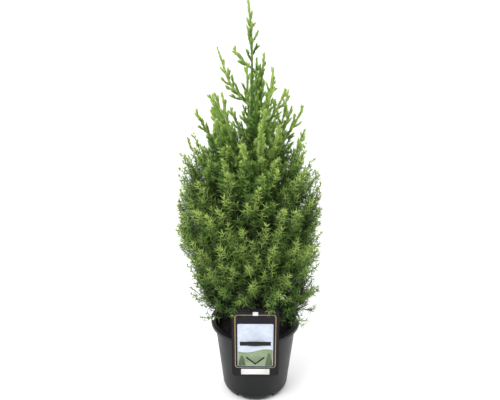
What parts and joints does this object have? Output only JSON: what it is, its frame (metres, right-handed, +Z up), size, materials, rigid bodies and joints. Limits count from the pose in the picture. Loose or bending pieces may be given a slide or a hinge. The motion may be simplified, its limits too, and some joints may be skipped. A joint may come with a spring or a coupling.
{
  "type": "potted chinese juniper",
  "caption": "Young upright conifer with a dense pointed crown of feathery plumes, growing in a round tapered nursery pot with a blank card label hung on its rim.",
  "frame": {"origin": "middle of the pot's flat underside", "axes": "+Z up along the pot's axis, -Y towards the front, where the label hangs"},
  "size_m": [0.2855, 0.289, 0.8471],
  "materials": {
    "pot_plastic": "satin moulded polypropylene, charcoal",
    "soil_mix": "moist crumbly peat potting mix",
    "label_stock": "stiff coated card, near black",
    "bark": "thin fissured red-brown bark",
    "needles": "fresh green needles, paler at the tips"
  },
  "bodies": {
    "root": {"pot": "pot_plastic", "soil": "soil_mix", "label_card": "label_stock", "trunk": "bark", "bough_09": "bark", "bough_10": "bark", "bough_11": "bark", "bough_12": "bark", "bough_13": "bark", "bough_14": "bark", "bough_15": "bark", "bough_16": "bark", "bough_17": "bark", "bough_18": "bark", "bough_19": "bark", "bough_20": "bark", "bough_21": "bark", "bough_22": "bark", "bough_23": "bark", "bough_24": "bark", "bough_25": "bark", "bough_26": "bark", "bough_27": "bark", "bough_28": "bark", "bough_29": "bark", "bough_30": "bark", "bough_31": "bark", "foliage_01": "needles", "foliage_02": "needles", "foliage_03": "needles", "foliage_04": "needles", "foliage_05": "needles", "foliage_06": "needles", "foliage_07": "needles", "foliage_08": "needles", "foliage_09": "needles", "foliage_10": "needles", "foliage_11": "needles", "foliage_12": "needles", "foliage_13": "needles", "foliage_14": "needles", "foliage_15": "needles", "foliage_16": "needles", "foliage_17": "needles", "foliage_18": "needles", "foliage_19": "needles", "foliage_20": "needles", "foliage_21": "needles", "foliage_22": "needles", "foliage_23": "needles", "foliage_24": "needles", "foliage_25": "needles", "foliage_26": "needles", "foliage_27": "needles", "foliage_28": "needles", "foliage_29": "needles", "foliage_30": "needles", "foliage_31": "needles", "foliage_leader": "needles"}
  },
  "joints": []
}
